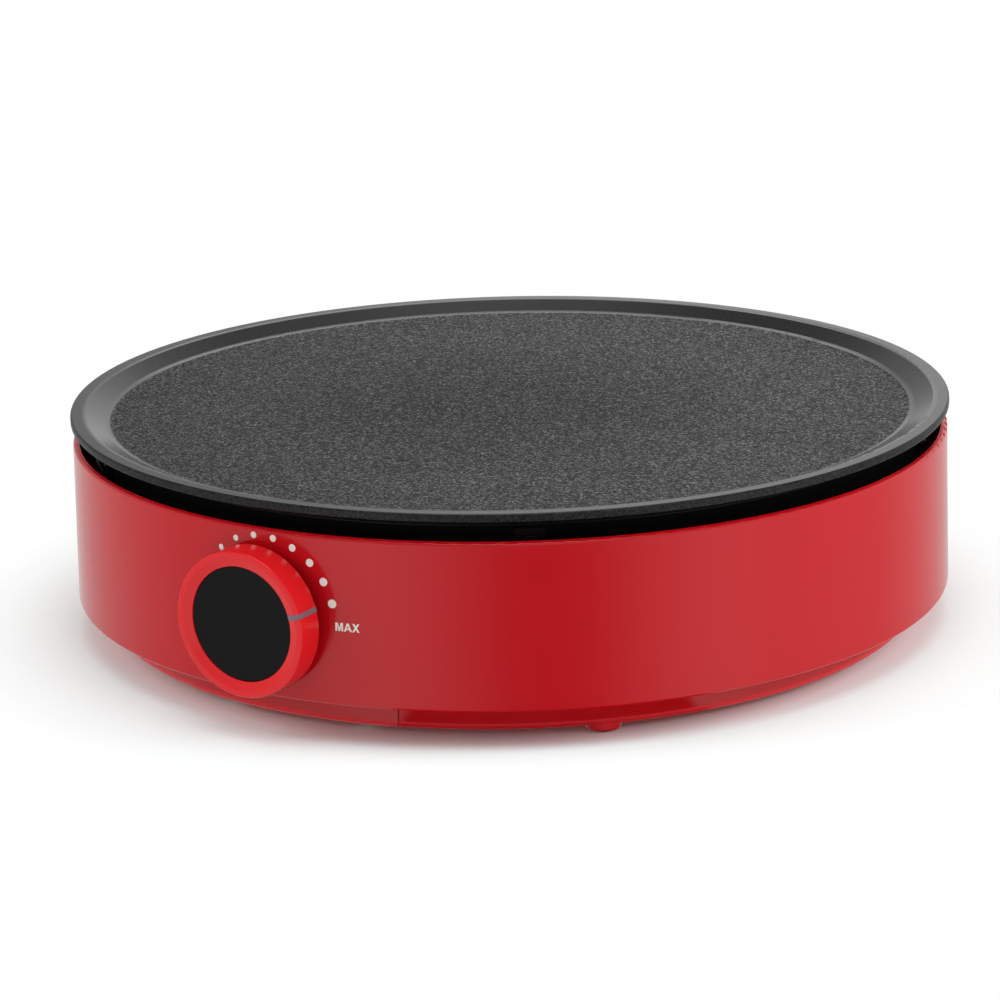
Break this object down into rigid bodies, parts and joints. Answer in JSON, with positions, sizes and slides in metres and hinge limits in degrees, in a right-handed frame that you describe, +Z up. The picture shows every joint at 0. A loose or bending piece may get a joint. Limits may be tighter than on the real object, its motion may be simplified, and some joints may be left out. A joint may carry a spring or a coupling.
{
  "type": "electric crepe maker",
  "caption": "Round countertop crepe maker: cast non-stick griddle plate with a sloping rim on a shallow moulded housing with a thermostat knob.",
  "frame": {"origin": "on the axis of the round body, on the plane that the four feet stand on", "axes": "+Z up through the griddle plate, -Y out through the knob, +X to the knob's right seen from the front"},
  "size_m": [0.3208, 0.3339, 0.0812],
  "materials": {
    "nonstick_plate": "cast, speckled non-stick coating, satin ledge",
    "red_shell": "moulded, gloss",
    "red_base": "moulded, gloss",
    "red_knob": "moulded, gloss",
    "black_disc": "moulded, satin",
    "pale_inlay": "translucent",
    "element_steel": "heat-tinted tube",
    "shield_steel": "aluminised sheet",
    "zinc_steel": "zinc plated",
    "screw_steel": "zinc plated",
    "white_ceramic": "unglazed",
    "foot_rubber": "matt",
    "brown_phenolic": "pressed phenolic",
    "black_gland": "moulded",
    "copper_tube": "bare copper",
    "brass_parts": "turned",
    "sleeve_white": "glass-fibre sleeve",
    "lead_brown": "sleeved",
    "lead_blue": "sleeved",
    "lead_earth": "sleeved, green and yellow"
  },
  "bodies": {
    "housing": {"griddle_plate": "nonstick_plate", "heating_element": "element_steel", "element_beads": "white_ceramic", "element_pins": "zinc_steel", "element_clamps": "zinc_steel", "clamp_screws": "screw_steel", "heat_shield": "shield_steel", "shield_rivets": "shield_steel", "plate_posts": "zinc_steel", "post_screws": "screw_steel", "housing_shell": "red_shell", "cord_gland": "black_gland", "base_pan": "red_base", "foot_pads": "foot_rubber", "control_bay_cover": "red_base", "cover_screws": "screw_steel", "base_screws": "screw_steel", "thermostat_bushing": "brass_parts", "thermostat_nut": "brass_parts", "thermostat_body": "brown_phenolic", "thermostat_cap": "zinc_steel", "thermostat_tabs": "brass_parts", "thermostat_bracket": "zinc_steel", "bracket_screws": "screw_steel", "sensor_bulb": "copper_tube", "bulb_clip": "zinc_steel", "bulb_clip_screws": "screw_steel", "capillary_tube": "copper_tube", "terminal_block": "white_ceramic", "terminal_screws": "brass_parts", "thermal_fuse": "sleeve_white", "fuse_clip": "zinc_steel", "earth_tab": "brass_parts", "shield_screws": "screw_steel", "live_lead": "lead_brown", "neutral_lead": "lead_blue", "fuse_lead": "lead_blue", "switched_lead": "sleeve_white", "earth_lead": "lead_earth"},
    "knob": {"knob_body": "red_knob", "knob_disc": "black_disc", "knob_pointer": "pale_inlay", "thermostat_shaft": "zinc_steel"}
  },
  "joints": [
    {"name": "knob_turn", "type": "hinge", "parent": "housing", "child": "knob", "pos_m": [0, -0.16, 0.0411], "axis": [0, 1, 0], "range_deg": [-166, 15.5]}
  ]
}
